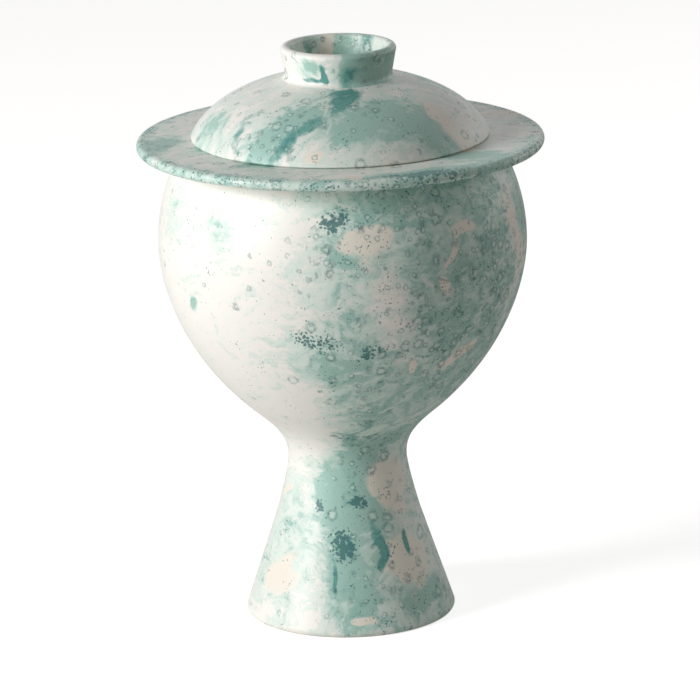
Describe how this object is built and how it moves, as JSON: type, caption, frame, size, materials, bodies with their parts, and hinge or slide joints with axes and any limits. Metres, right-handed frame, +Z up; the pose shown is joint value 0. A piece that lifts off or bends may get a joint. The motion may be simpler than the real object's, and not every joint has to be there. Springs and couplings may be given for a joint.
{
  "type": "lidded footed jar",
  "caption": "Lidded footed jar: a round bowl on a flared hollow foot, with a wide flat brim and a lift-off domed lid whose grip is an open ring.",
  "frame": {"origin": "centre of the circle that the foot stands on", "axes": "+Z up the jar's axis of revolution; +Y away from the viewer of the picture, +X to the right"},
  "size_m": [0.2, 0.2, 0.2879],
  "materials": {
    "splash_glaze": "satin",
    "liner_glaze": "satin"
  },
  "bodies": {
    "jar": {"foot": "splash_glaze", "bowl": "splash_glaze", "brim": "splash_glaze"},
    "lid": {"lid_dome": "splash_glaze", "lid_grip": "splash_glaze", "lid_locating_ring": "liner_glaze"}
  },
  "joints": [
    {"name": "lid_lift", "type": "slide", "parent": "jar", "child": "lid", "axis": [0, 0, 1], "range_m": [0, 0.1]}
  ]
}
